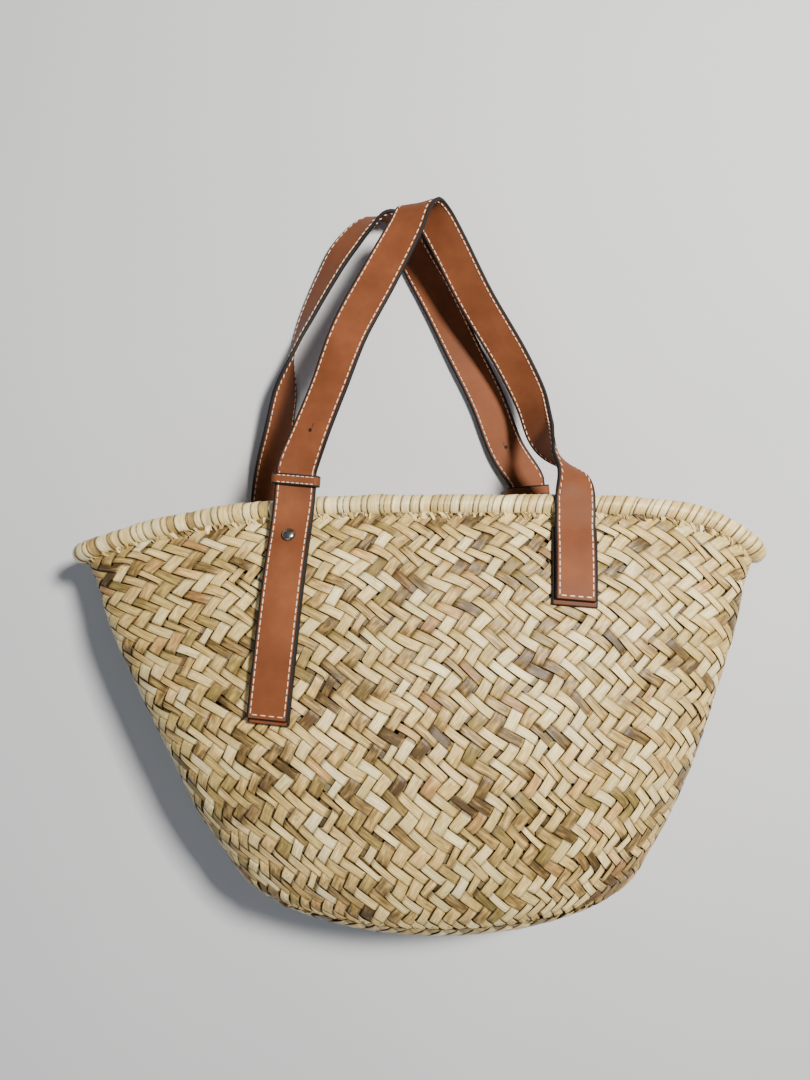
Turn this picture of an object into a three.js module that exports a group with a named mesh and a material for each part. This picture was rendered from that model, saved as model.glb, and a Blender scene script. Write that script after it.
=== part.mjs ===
// Straw basket bag with two leather handles, lying on its back panel with the handles
// laid out past the rim.
// Millimetres. X runs across the bag, Y from the base up towards the handles, and Z up
// from the surface that the bag lies on. The front panel faces up.
import * as THREE from 'three';

// Driving dimensions of the basket
const RIM_WIDTH = 447.5;        // across the mouth, to the middle of the rim roll
const BASKET_HEIGHT = 276;      // from the rim line to the lowest point of the base
const BELLY_DEPTH = 110;        // front panel to back panel at the fullest level
const WALL = 2.4;               // two layers of woven straw
const ROLL_DIAMETER = 13;       // straw core wound with straw

// Driving dimensions of the leather
const STRAP_WIDTH = 25.5;
const STRAP_THICKNESS = 2.6;
const HANDLE_DROP = 196;        // from the rim line to the top of the front handle
const HANDLE_SPREAD = 178;      // from one foot of a handle to the other, at the rim
const TAIL_LENGTH = 126;        // strap below the rim line at the adjusting end
const FOOT_LENGTH = 60;         // strap below the rim line at the sewn end
const TAIL_MARGIN = 3;          // how far the base strap shows past the tail
const PATCH_WIDTH = 28.5;
const PATCH_THICKNESS = 1.4;
const PATCH_MARGIN = 3;         // how far the patch shows past the sewn end
const KEEPER_WIDTH = 7;
const KEEPER_THICKNESS = 1.7;
const FRONT_KEEPER_RISE = 16;   // from the rim line to the middle of the front keeper
const BACK_KEEPER_RISE = 12;
const STUD_DIAMETER = 8.4;
const STUD_HEIGHT = 2.4;
const STUD_FALL = 20;           // from the rim line down to the stud
const STRAP_SPACING = 11;       // between the stations of a strap on a panel

// Clearances
const SEAT_GAP = 0.35;          // between pieces that touch
const WRAP_GAP = 0.65;          // between the wall or the rim roll and a strap bent over it

// Fineness of the solids
const WALL_STATIONS = 56;
const WALL_ROWS = 15;
const BASE_ROWS = 5;
const ROLL_STATIONS = 72;
const ROLL_SIDES = 10;
const TURN_WEIGHT = 70;         // how strongly stations gather where a level turns

// Levels of the basket from the rim to the middle of the base.
// midFall and sideFall: shares of BASKET_HEIGHT below the rim line, in the middle of
// a panel and at the side edges. halfWidth: share of half of RIM_WIDTH.
// shift: share of RIM_WIDTH by which the level leans to the right.
// front and back: shares of BELLY_DEPTH above the resting surface.
// turn: radius of the side edge as a share of half the level's depth.
// leftPower and rightPower: how late the level bends down towards each side edge.
const LEVELS = [
  { midFall: 0.000, sideFall: 0.115, halfWidth: 1.000, shift: 0.000, front: 0.600, back: 0.150,
    turn: 0.42, leftPower: 2.6, rightPower: 7.0 },
  { midFall: 0.084, sideFall: 0.184, halfWidth: 0.955, shift: 0.002, front: 0.727, back: 0.127,
    turn: 0.42, leftPower: 2.5, rightPower: 5.0 },
  { midFall: 0.211, sideFall: 0.289, halfWidth: 0.909, shift: 0.005, front: 0.850, back: 0.108,
    turn: 0.44, leftPower: 2.3, rightPower: 4.0 },
  { midFall: 0.377, sideFall: 0.427, halfWidth: 0.836, shift: 0.011, front: 0.940, back: 0.085,
    turn: 0.45, leftPower: 2.0, rightPower: 3.0 },
  { midFall: 0.547, sideFall: 0.565, halfWidth: 0.764, shift: 0.018, front: 1.000, back: 0.030,
    turn: 0.45, leftPower: 2.0, rightPower: 2.0 },
  { midFall: 0.713, sideFall: 0.703, halfWidth: 0.692, shift: 0.021, front: 1.000, back: -0.04,
    turn: 0.45, leftPower: 2.0, rightPower: 2.0 },
  { midFall: 0.841, sideFall: 0.805, halfWidth: 0.618, shift: 0.025, front: 0.940, back: -0.02,
    turn: 0.50, leftPower: 2.0, rightPower: 2.0 },
  { midFall: 0.929, sideFall: 0.866, halfWidth: 0.565, shift: 0.027, front: 0.840, back: 0.100,
    turn: 0.55, leftPower: 2.0, rightPower: 2.0 },
  { midFall: 0.972, sideFall: 0.915, halfWidth: 0.472, shift: 0.028, front: 0.730, back: 0.215,
    turn: 0.60, leftPower: 2.0, rightPower: 2.0 },
  { midFall: 0.992, sideFall: 0.961, halfWidth: 0.331, shift: 0.028, front: 0.610, back: 0.335,
    turn: 0.60, leftPower: 2.0, rightPower: 2.0 },
  { midFall: 1.000, sideFall: 1.000, halfWidth: 0.000, shift: 0.028, front: 0.473, back: 0.473,
    turn: 0.60, leftPower: 2.0, rightPower: 2.0 },
];

// The free length of the front handle, from the keeper to the sewn end.
// across: share of half of HANDLE_SPREAD, from the middle of the rim.
// rise: share of HANDLE_DROP above the rim line. height: share of BELLY_DEPTH.
// edge: direction from the strap's outer edge of the arch to its inner edge.
const FRONT_ARCH = [
  { across: -0.774, rise: 0.223, height: 0.715, edge: [0.93, -0.20, 0.30] },
  { across: -0.640, rise: 0.380, height: 0.700, edge: [0.84, -0.40, 0.36] },
  { across: -0.500, rise: 0.555, height: 0.675, edge: [0.86, -0.45, 0.24] },
  { across: -0.275, rise: 0.752, height: 0.640, edge: [0.86, -0.45, 0.24] },
  { across: -0.105, rise: 0.905, height: 0.600, edge: [0.84, -0.36, 0.40] },
  { across: -0.035, rise: 0.980, height: 0.560, edge: [0.87, -0.12, 0.48] },
  { across: 0.035, rise: 1.000, height: 0.490, edge: [0.87, 0.12, 0.46] },
  { across: 0.115, rise: 0.973, height: 0.415, edge: [0.84, 0.30, 0.45] },
  { across: 0.220, rise: 0.900, height: 0.360, edge: [0.80, 0.40, 0.45] },
  { across: 0.440, rise: 0.719, height: 0.290, edge: [0.76, 0.43, 0.49] },
  { across: 0.715, rise: 0.518, height: 0.240, edge: [0.74, 0.42, 0.53] },
  { across: 0.860, rise: 0.380, height: 0.250, edge: [0.68, 0.40, 0.60] },
  { across: 0.920, rise: 0.258, height: 0.350, edge: [0.52, 0.22, 0.80] },
  { across: 1.005, rise: 0.170, height: 0.500, edge: [0.00, 0.00, 1.00] },
  { across: 1.095, rise: 0.098, height: 0.620, edge: [-0.85, 0.10, 0.50] },
];

// The free length of the back handle, from its keeper on the right to its sewn end.
const BACK_ARCH = [
  { across: 0.712, rise: 0.213, height: 0.042, edge: [-0.90, -0.43, 0.00] },
  { across: 0.554, rise: 0.396, height: 0.035, edge: [-0.90, -0.43, 0.00] },
  { across: 0.357, rise: 0.579, height: 0.032, edge: [-0.90, -0.43, 0.00] },
  { across: 0.160, rise: 0.761, height: 0.042, edge: [-0.88, -0.43, -0.15] },
  { across: -0.035, rise: 0.920, height: 0.080, edge: [-0.70, -0.45, -0.50] },
  { across: -0.115, rise: 1.005, height: 0.105, edge: [-0.40, -0.45, -0.78] },
  { across: -0.224, rise: 1.045, height: 0.121, edge: [-0.05, 0.03, -1.00] },
  { across: -0.388, rise: 1.028, height: 0.119, edge: [-0.50, 0.36, -0.79] },
  { across: -0.586, rise: 0.938, height: 0.112, edge: [-0.60, 0.46, -0.65] },
  { across: -0.722, rise: 0.832, height: 0.116, edge: [-0.56, 0.38, -0.74] },
  { across: -0.879, rise: 0.687, height: 0.118, edge: [-0.44, 0.27, -0.86] },
  { across: -0.983, rise: 0.565, height: 0.121, edge: [-0.22, 0.10, -0.97] },
  { across: -1.058, rise: 0.403, height: 0.118, edge: [0.50, 0.00, -0.86] },
  { across: -1.109, rise: 0.273, height: 0.108, edge: [0.66, 0.00, -0.75] },
  { across: -1.165, rise: 0.131, height: 0.086, edge: [0.88, 0.00, -0.45] },
];

// Where the straps run on the panels, as shares of half of HANDLE_SPREAD: at the rim
// line and at the strap's lower end.
const FRONT_FEET = {
  side: 1,
  keeperRise: FRONT_KEEPER_RISE,
  adjusting: { atRim: -0.890, atEnd: -1.010 },
  sewn: { atRim: 1.100, atEnd: 1.050 },
};
const BACK_FEET = {
  side: -1,
  keeperRise: BACK_KEEPER_RISE,
  adjusting: { atRim: 0.885, atEnd: 1.000 },
  sewn: { atRim: -1.190, atEnd: -1.090 },
};

const ROLL_RADIUS = ROLL_DIAMETER / 2;
const UP = new THREE.Vector3(0, 0, 1);

// Named columns of LEVELS read at any place between two rows, by a smooth cubic.
const COLUMNS = Object.keys(LEVELS[0]);
const LEVEL_PLACES = measureLevels();
const BASE_PLACE = LEVEL_PLACES[6];

// Distance of each row from the rim along the front panel, as a share of the whole.
function measureLevels() {
  const places = [0];
  for (let i = 1; i < LEVELS.length; i += 1) {
    const fall = (LEVELS[i].midFall - LEVELS[i - 1].midFall) * BASKET_HEIGHT;
    const rise = (LEVELS[i].front - LEVELS[i - 1].front) * BELLY_DEPTH;
    places.push(places[i - 1] + Math.hypot(fall, rise));
  }
  return places.map((place) => place / places[places.length - 1]);
}

function slopeAt(column, i) {
  const before = Math.max(i - 1, 0);
  const after = Math.min(i + 1, LEVELS.length - 1);
  return (LEVELS[after][column] - LEVELS[before][column])
    / (LEVEL_PLACES[after] - LEVEL_PLACES[before]);
}

function levelAt(place) {
  let i = 0;
  while (i < LEVELS.length - 2 && place > LEVEL_PLACES[i + 1]) {
    i += 1;
  }
  const span = LEVEL_PLACES[i + 1] - LEVEL_PLACES[i];
  const t = (place - LEVEL_PLACES[i]) / span;
  const level = {};
  for (const column of COLUMNS) {
    const a = LEVELS[i][column];
    const b = LEVELS[i + 1][column];
    const slopeA = slopeAt(column, i) * span;
    const slopeB = slopeAt(column, i + 1) * span;
    level[column] = a + t * (slopeA + t * ((3 * (b - a) - 2 * slopeA - slopeB)
      + t * (slopeA + slopeB - 2 * (b - a))));
  }
  return level;
}

// One point of a level. Its section is an ellipse widened all round by the radius of
// the side edges; the resting surface flattens what would reach below it.
function pointOnLevel(level, angle) {
  const halfWidth = level.halfWidth * RIM_WIDTH / 2;
  const halfDepth = (level.front - level.back) * BELLY_DEPTH / 2;
  const middle = (level.front + level.back) * BELLY_DEPTH / 2;
  const turn = level.turn * halfDepth;
  const coreWidth = halfWidth - turn;
  const coreDepth = halfDepth - turn;
  const normal = new THREE.Vector2(coreDepth * Math.cos(angle), coreWidth * Math.sin(angle));
  normal.normalize();
  const along = coreWidth * Math.cos(angle) + turn * normal.x;
  const up = middle + coreDepth * Math.sin(angle) + turn * normal.y;
  const share = halfWidth > 0 ? Math.min(Math.abs(along) / halfWidth, 1) : 0;
  const bend = share ** (along < 0 ? level.leftPower : level.rightPower);
  const fall = level.midFall + (level.sideFall - level.midFall) * bend;
  return new THREE.Vector3(level.shift * RIM_WIDTH + along, -fall * BASKET_HEIGHT,
    Math.max(up, 0));
}

// Angles round a level, closer together where the level turns sharply.
function stationAngles(level, count) {
  const steps = 720;
  const sums = [0];
  let last = pointOnLevel(level, 0);
  let heading = null;
  for (let i = 1; i <= steps; i += 1) {
    const next = pointOnLevel(level, i * 2 * Math.PI / steps);
    const move = next.clone().sub(last);
    const turned = heading ? heading.angleTo(move) : 0;
    sums.push(sums[i - 1] + move.length() + TURN_WEIGHT * turned);
    heading = move;
    last = next;
  }
  const angles = [];
  let i = 0;
  for (let k = 0; k < count; k += 1) {
    const wanted = sums[steps] * k / count;
    while (sums[i + 1] < wanted) {
      i += 1;
    }
    const part = (wanted - sums[i]) / (sums[i + 1] - sums[i]);
    angles.push((i + part) * 2 * Math.PI / steps);
  }
  return angles;
}

// Outward normal and downward direction of the wall at an angle and a place.
function frameOnWall(place, angle) {
  const step = 1e-3;
  const near = Math.max(place - step, 0);
  const far = Math.min(place + step, 1 - step);
  const level = levelAt(place);
  const round = pointOnLevel(level, angle + step).sub(pointOnLevel(level, angle - step));
  const down = pointOnLevel(levelAt(far), angle).sub(pointOnLevel(levelAt(near), angle));
  const out = round.clone().cross(down).normalize();
  return { out, down: down.normalize() };
}

function solidFrom(points, triangles) {
  const geometry = new THREE.BufferGeometry();
  const values = points.flatMap((point) => [point.x, point.y, point.z]);
  geometry.setAttribute('position', new THREE.Float32BufferAttribute(values, 3));
  geometry.setIndex(triangles.flat());
  geometry.computeVertexNormals();
  return geometry;
}

// The woven body: outer skin, inner skin and the edge under the rim roll.
function basketShell() {
  const skinRows = WALL_ROWS + BASE_ROWS;
  const edges = stationAngles(levelAt(0), WALL_STATIONS).map(edgePlace);
  const outer = [];
  const inner = [];
  for (let row = 0; row < skinRows; row += 1) {
    const onWall = row < WALL_ROWS;
    const share = onWall ? row / WALL_ROWS : (row - WALL_ROWS) / BASE_ROWS;
    const evenPlace = onWall ? share * BASE_PLACE : BASE_PLACE + share * (1 - BASE_PLACE);
    const angles = stationAngles(levelAt(evenPlace), WALL_STATIONS);
    for (const [k, angle] of angles.entries()) {
      const place = onWall ? evenPlace + (1 - share) * edges[k] : evenPlace;
      const point = pointOnLevel(levelAt(place), angle);
      const { out } = frameOnWall(place, angle);
      outer.push(point);
      inner.push(point.clone().addScaledVector(out, -WALL));
    }
  }
  const pole = pointOnLevel(levelAt(1), 0);
  const points = [...outer, ...inner, pole, pole.clone().add(new THREE.Vector3(0, WALL, 0))];
  const innerStart = outer.length;
  const outerPole = 2 * innerStart;
  const innerPole = outerPole + 1;
  const triangles = [];
  for (let k = 0; k < WALL_STATIONS; k += 1) {
    const next = (k + 1) % WALL_STATIONS;
    for (let row = 0; row < skinRows - 1; row += 1) {
      const a = row * WALL_STATIONS + k;
      const b = row * WALL_STATIONS + next;
      const c = a + WALL_STATIONS;
      const d = b + WALL_STATIONS;
      triangles.push([a, b, d], [a, d, c]);
      triangles.push([innerStart + a, innerStart + d, innerStart + b]);
      triangles.push([innerStart + a, innerStart + c, innerStart + d]);
    }
    const lastA = (skinRows - 1) * WALL_STATIONS + k;
    const lastB = (skinRows - 1) * WALL_STATIONS + next;
    triangles.push([lastA, lastB, outerPole]);
    triangles.push([innerStart + lastA, innerPole, innerStart + lastB]);
    triangles.push([k, innerStart + next, next], [k, innerStart + k, innerStart + next]);
  }
  return solidFrom(points, triangles);
}

// The place at which the wall starts, so that its edge sits under the rim roll.
function edgePlace(angle) {
  const seat = ROLL_RADIUS * Math.cos(Math.PI / ROLL_SIDES) + SEAT_GAP;
  const step = 0.02;
  const rim = pointOnLevel(levelAt(0), angle);
  return seat * step / pointOnLevel(levelAt(step), angle).distanceTo(rim);
}

// The roll round the mouth, with a flat of its section towards the wall's edge.
function rimRoll() {
  const level = levelAt(0);
  const points = [];
  const angles = stationAngles(level, ROLL_STATIONS);
  for (const angle of angles) {
    const centre = pointOnLevel(level, angle);
    const { out, down } = frameOnWall(0, angle);
    for (let side = 0; side < ROLL_SIDES; side += 1) {
      const turn = (side + 0.5) * 2 * Math.PI / ROLL_SIDES;
      points.push(centre.clone()
        .addScaledVector(down, ROLL_RADIUS * Math.cos(turn))
        .addScaledVector(out, ROLL_RADIUS * Math.sin(turn)));
    }
  }
  const triangles = [];
  for (let k = 0; k < ROLL_STATIONS; k += 1) {
    const next = (k + 1) % ROLL_STATIONS;
    for (let side = 0; side < ROLL_SIDES; side += 1) {
      const a = k * ROLL_SIDES + side;
      const b = next * ROLL_SIDES + side;
      const c = k * ROLL_SIDES + (side + 1) % ROLL_SIDES;
      const d = next * ROLL_SIDES + (side + 1) % ROLL_SIDES;
      triangles.push([a, c, d], [a, d, b]);
    }
  }
  return solidFrom(points, triangles);
}

// The point of the front (side 1) or back (side -1) panel at a given X and Y.
function pointOnPanel(side, x, y) {
  let low = 0;
  let high = BASE_PLACE;
  let angle = 0;
  for (let i = 0; i < 40; i += 1) {
    const place = (low + high) / 2;
    angle = angleAt(levelAt(place), side, x);
    if (pointOnLevel(levelAt(place), angle).y > y) {
      low = place;
    } else {
      high = place;
    }
  }
  return { point: pointOnLevel(levelAt(low), angle), out: frameOnWall(low, angle).out };
}

function angleAt(level, side, x) {
  let low = 0;
  let high = Math.PI;
  for (let i = 0; i < 40; i += 1) {
    const angle = (low + high) / 2;
    if (pointOnLevel(level, side * angle).x > x) {
      low = angle;
    } else {
      high = angle;
    }
  }
  return side * low;
}

// Stations of a strap on a panel, from its lower end up to where it leaves the wall
// for the rim roll. lift is the distance from the wall to the strap's middle, and
// margin the length by which a lower layer shows past the strap's end.
function panelRoute(side, line, length, margin, lift) {
  const leaving = 2.4 * ROLL_RADIUS;
  const count = Math.max(Math.round((length - leaving) / STRAP_SPACING), 2);
  const falls = margin > 0 ? [length + margin] : [];
  for (let i = 0; i <= count; i += 1) {
    falls.push(length + (leaving - length) * i / count);
  }
  return falls.map((fall) => {
    const x = acrossAt(line, fall / length);
    const { point, out } = pointOnPanel(side, x, rimLineAt(side, x) - fall);
    const left = pointOnPanel(side, x - STRAP_WIDTH / 2, point.y).point;
    const right = pointOnPanel(side, x + STRAP_WIDTH / 2, point.y).point;
    return { point: point.addScaledVector(out, lift), across: right.sub(left) };
  });
}

function acrossAt(line, share) {
  return (line.atRim + (line.atEnd - line.atRim) * share) * HANDLE_SPREAD / 2;
}

function rimLineAt(side, x) {
  const level = levelAt(0);
  return pointOnLevel(level, angleAt(level, side, x)).y;
}

// The station where a strap crosses the rim roll, pressed on it square to its own
// direction: half way between the wall's slope and the level stretch above the rim.
function overRoll(side, x, lift) {
  const angle = angleAt(levelAt(0), side, x);
  const { out } = frameOnWall(0, angle);
  const press = out.addScaledVector(UP, 2 * side).setX(0).normalize();
  const point = pointOnLevel(levelAt(0), angle);
  point.addScaledVector(press, ROLL_RADIUS + WRAP_GAP + lift);
  return { point, across: new THREE.Vector3(1, 0, 0) };
}

// A station above the rim line, level with the strap where it crosses the roll.
function aboveRoll(side, line, rise, lift) {
  const station = overRoll(side, acrossAt(line, 0), 0);
  const slant = (line.atRim - line.atEnd) * HANDLE_SPREAD / 2 / TAIL_LENGTH;
  station.point.add(new THREE.Vector3(slant * rise, rise, side * lift));
  return station;
}

function archRoute(rows) {
  return rows.map((row) => ({
    point: new THREE.Vector3(row.across * HANDLE_SPREAD / 2, row.rise * HANDLE_DROP,
      row.height * BELLY_DEPTH),
    across: new THREE.Vector3(...row.edge),
  }));
}

// A flat strap through its stations: a smooth curve for the middle, and the direction
// of its width turned square to that curve.
function strap(stations, width, thickness, finer) {
  const middle = new THREE.CatmullRomCurve3(stations.map((station) => station.point));
  const edge = new THREE.CatmullRomCurve3(stations.map((station) => station.across.normalize()));
  middle.curveType = 'centripetal';
  const count = (stations.length - 1) * finer;
  const points = [];
  for (let i = 0; i <= count; i += 1) {
    const share = i / count;
    const centre = middle.getPoint(share);
    const along = middle.getTangent(share);
    const across = edge.getPoint(share);
    across.addScaledVector(along, -across.dot(along)).normalize();
    const out = across.clone().cross(along).normalize();
    for (const [u, v] of [[-1, -1], [1, -1], [1, 1], [-1, 1]]) {
      points.push(centre.clone()
        .addScaledVector(across, u * width / 2)
        .addScaledVector(out, v * thickness / 2));
    }
  }
  const triangles = [[0, 1, 2], [0, 2, 3]];
  for (let i = 0; i < count; i += 1) {
    for (let side = 0; side < 4; side += 1) {
      const a = 4 * i + side;
      const b = 4 * i + (side + 1) % 4;
      triangles.push([a, b + 4, b], [a, a + 4, b + 4]);
    }
  }
  const end = 4 * count;
  triangles.push([end, end + 2, end + 1], [end, end + 3, end + 2]);
  return solidFrom(points, triangles);
}

// Middle of each layer above the wall or the roll.
const BASE_LIFT = STRAP_THICKNESS / 2;
const TAIL_LIFT = STRAP_THICKNESS + WRAP_GAP + STRAP_THICKNESS / 2;
const PATCH_LIFT = PATCH_THICKNESS / 2;
const FOOT_LIFT = PATCH_THICKNESS + SEAT_GAP + STRAP_THICKNESS / 2;

// The strap sewn to the basket, which the adjusting end of the handle lies on.
function baseStrap(feet) {
  const line = feet.adjusting;
  return strap([
    ...panelRoute(feet.side, line, TAIL_LENGTH, TAIL_MARGIN, WRAP_GAP + BASE_LIFT),
    overRoll(feet.side, acrossAt(line, 0), BASE_LIFT),
    aboveRoll(feet.side, line, feet.keeperRise + KEEPER_WIDTH / 2, BASE_LIFT),
  ], STRAP_WIDTH, STRAP_THICKNESS, 3);
}

// One handle: the tail on the base strap, the arch, and the end sewn over the patch.
function handle(feet, arch) {
  const tail = [
    ...panelRoute(feet.side, feet.adjusting, TAIL_LENGTH, 0, WRAP_GAP + TAIL_LIFT),
    overRoll(feet.side, acrossAt(feet.adjusting, 0), TAIL_LIFT),
    aboveRoll(feet.side, feet.adjusting, feet.keeperRise + KEEPER_WIDTH / 2, TAIL_LIFT),
    aboveRoll(feet.side, feet.adjusting, feet.keeperRise + KEEPER_WIDTH, TAIL_LIFT),
  ];
  const foot = [
    ...panelRoute(feet.side, feet.sewn, FOOT_LENGTH, 0, WRAP_GAP + FOOT_LIFT),
    overRoll(feet.side, acrossAt(feet.sewn, 0), BASE_LIFT),
  ].reverse();
  for (const station of tail) {
    station.across.multiplyScalar(feet.side);
  }
  for (const station of foot) {
    station.across.multiplyScalar(-feet.side);
  }
  return strap([...tail, ...archRoute(arch), ...foot], STRAP_WIDTH, STRAP_THICKNESS, 3);
}

// The thin leather between the sewn end and the wall.
function patch(feet) {
  const route = panelRoute(feet.side, feet.sewn, FOOT_LENGTH, PATCH_MARGIN,
    WRAP_GAP + PATCH_LIFT);
  return strap(route, PATCH_WIDTH, PATCH_THICKNESS, 1);
}

// The leather loop round the base strap and the handle, just above the roll.
function keeper(feet) {
  const inside = STRAP_WIDTH / 2 + WRAP_GAP;
  const layers = STRAP_THICKNESS + WRAP_GAP / 2 + WRAP_GAP;
  const loop = roundedBox(inside + KEEPER_THICKNESS, layers + KEEPER_THICKNESS,
    2 * KEEPER_THICKNESS);
  loop.holes.push(roundedBox(inside, layers, KEEPER_THICKNESS / 2));
  const geometry = new THREE.ExtrudeGeometry(loop, {
    depth: KEEPER_WIDTH, bevelEnabled: false, curveSegments: 3,
  });
  geometry.translate(0, 0, -KEEPER_WIDTH / 2);
  const low = aboveRoll(feet.side, feet.adjusting, feet.keeperRise, BASE_LIFT);
  const high = aboveRoll(feet.side, feet.adjusting, feet.keeperRise, TAIL_LIFT);
  const beyond = aboveRoll(feet.side, feet.adjusting, 2 * feet.keeperRise, BASE_LIFT);
  const along = beyond.point.clone().sub(low.point).normalize();
  const out = UP.clone();
  const across = out.clone().cross(along).normalize();
  const place = new THREE.Matrix4().makeBasis(across, out, across.clone().cross(out));
  place.setPosition(low.point.add(high.point).multiplyScalar(0.5));
  geometry.applyMatrix4(place);
  return geometry;
}

function roundedBox(halfWidth, halfHeight, radius) {
  const shape = new THREE.Shape();
  const r = Math.min(radius, halfHeight, halfWidth);
  shape.absarc(halfWidth - r, halfHeight - r, r, 0, Math.PI / 2);
  shape.absarc(-halfWidth + r, halfHeight - r, r, Math.PI / 2, Math.PI);
  shape.absarc(-halfWidth + r, -halfHeight + r, r, Math.PI, 1.5 * Math.PI);
  shape.absarc(halfWidth - r, -halfHeight + r, r, 1.5 * Math.PI, 2 * Math.PI);
  shape.closePath();
  return shape;
}

// The domed head of the stud, on the outer face of the tail.
function stud(feet) {
  const radius = STUD_DIAMETER / 2;
  const rise = (share) => STUD_HEIGHT * Math.sin(share * Math.PI / 2);
  const profile = [new THREE.Vector2(0, 0)];
  for (const share of [0, 0.25, 0.5, 0.75, 1]) {
    profile.push(new THREE.Vector2(radius * Math.cos(share * Math.PI / 2), rise(share)));
  }
  profile[profile.length - 1].x = 0;
  const geometry = new THREE.LatheGeometry(profile, 14);
  const x = acrossAt(feet.adjusting, STUD_FALL / TAIL_LENGTH);
  const { point, out } = pointOnPanel(feet.side, x, rimLineAt(feet.side, x) - STUD_FALL);
  const top = WRAP_GAP + TAIL_LIFT + STRAP_THICKNESS / 2 + SEAT_GAP;
  geometry.applyQuaternion(new THREE.Quaternion().setFromUnitVectors(
    new THREE.Vector3(0, 1, 0), out));
  point.addScaledVector(out, top);
  geometry.translate(point.x, point.y, point.z);
  return geometry;
}

const STRAW = { color: 0xcdb98e, roughness: 0.75, metalness: 0 };
const BOUND_STRAW = { color: 0xd6c6a0, roughness: 0.6, metalness: 0 };
const TAN_LEATHER = { color: 0xa0613f, roughness: 0.5, metalness: 0 };
const DARK_LEATHER = { color: 0x8a4f33, roughness: 0.6, metalness: 0 };
const DARK_NICKEL = { color: 0x6e6862, roughness: 0.3, metalness: 1 };

const bag = new THREE.Group();

function add(name, geometry, finish) {
  const mesh = new THREE.Mesh(geometry, new THREE.MeshStandardMaterial(finish));
  mesh.name = name;
  bag.add(mesh);
}

add('basket', basketShell(), STRAW);
add('rim_roll', rimRoll(), BOUND_STRAW);
for (const [side, feet, arch] of [['front', FRONT_FEET, FRONT_ARCH],
  ['back', BACK_FEET, BACK_ARCH]]) {
  add(`${side}_base_strap`, baseStrap(feet), TAN_LEATHER);
  add(`${side}_handle`, handle(feet, arch), TAN_LEATHER);
  add(`${side}_keeper`, keeper(feet), TAN_LEATHER);
  add(`${side}_stud`, stud(feet), DARK_NICKEL);
  add(`${side}_patch`, patch(feet), DARK_LEATHER);
}

// The origin is on the resting surface, under the middle of the whole bag.
const extent = new THREE.Box3().setFromObject(bag, true);
bag.position.set(-(extent.min.x + extent.max.x) / 2, -(extent.min.y + extent.max.y) / 2,
  -extent.min.z);

export default bag;
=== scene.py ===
"""Straw basket bag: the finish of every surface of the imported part.

Lengths are millimetres in the bag's own coordinates until a mesh is made. X runs across the
bag, Y from the base up to the handles, and Z up from the surface that it lies on.
"""
import math

import bpy
import numpy as np
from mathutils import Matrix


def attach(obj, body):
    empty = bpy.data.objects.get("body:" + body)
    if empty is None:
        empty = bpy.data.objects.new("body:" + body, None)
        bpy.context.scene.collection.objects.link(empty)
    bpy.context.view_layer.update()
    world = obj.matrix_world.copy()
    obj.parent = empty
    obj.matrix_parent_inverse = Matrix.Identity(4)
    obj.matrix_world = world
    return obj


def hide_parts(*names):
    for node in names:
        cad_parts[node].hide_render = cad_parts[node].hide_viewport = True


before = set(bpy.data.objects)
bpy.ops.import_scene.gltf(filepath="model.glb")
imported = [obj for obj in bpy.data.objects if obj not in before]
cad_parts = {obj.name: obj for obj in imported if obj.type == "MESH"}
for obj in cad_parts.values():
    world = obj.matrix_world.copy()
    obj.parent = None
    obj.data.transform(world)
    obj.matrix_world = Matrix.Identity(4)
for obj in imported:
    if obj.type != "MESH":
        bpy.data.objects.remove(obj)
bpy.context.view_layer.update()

# Driving dimensions, as in the part
RIM_WIDTH = 447.5
BASKET_HEIGHT = 276.0
BELLY_DEPTH = 110.0
WALL = 2.4
ROLL_RADIUS = 6.5
STRAP_WIDTH = 25.5
STRAP_THICKNESS = 2.6
HANDLE_DROP = 196.0
HANDLE_SPREAD = 178.0
TAIL_LENGTH = 126.0
FOOT_LENGTH = 60.0
TAIL_MARGIN = 3.0
PATCH_WIDTH = 28.5
PATCH_THICKNESS = 1.4
PATCH_MARGIN = 3.0
KEEPER_WIDTH = 7.0
KEEPER_THICKNESS = 1.7
FRONT_KEEPER_RISE = 16.0
BACK_KEEPER_RISE = 12.0
STUD_DIAMETER = 8.4
STUD_HEIGHT = 2.4
STUD_FALL = 20.0
STRAP_SPACING = 11.0
SEAT_GAP = 0.35
WRAP_GAP = 0.65

# From the bag's own coordinates to the shared frame
MODEL_SHIFT = np.array([-0.002, 33.1508, 0.0])
MM = 0.001

# The overhead camera, in the bag's own coordinates
CAMERA_PLACE = np.array([-9.5, -22.5, 584.0])
FOCAL_LENGTH = 811.0            # in pixels of the picture
PICTURE_HEIGHT = 1080.0         # in pixels
SENSOR_HEIGHT = 36.0

# Weave of the wall
STRIPS = 80                     # in each direction
STEEP_SHARE = 0.63              # how much of a row's shift the flatter strips take
ROW_FALLS = [0.0, 130.0, 260.0]         # distance below the rim
ROW_HEIGHTS = [4.15, 4.75, 5.6]         # height of one row of crossings there
ROW_CROWDING = [0.12, 0.0, -0.15]       # how much closer strips lie on the panels
WEAVE_START = 5.0               # below the rim line, under the roll
WEAVE_DEPTH = 1.2               # middle of the weave below the wall's outer face
WEAVE_LIFT = 0.78               # of a strip above or below that middle
STRIP_THICKNESS = 0.6
STRIP_CROWN = 0.07
STRIP_REACH = 0.455             # half a strip's width, as a share of the space it has
FIBRE_REACH = 3.4               # half a strip's width, for the pattern of its fibres
FLOAT_LOOKS = 64                # floats along a strip before their looks repeat
WALL_SPACING = 8.0              # along a strip, from one crossing to the next

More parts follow.
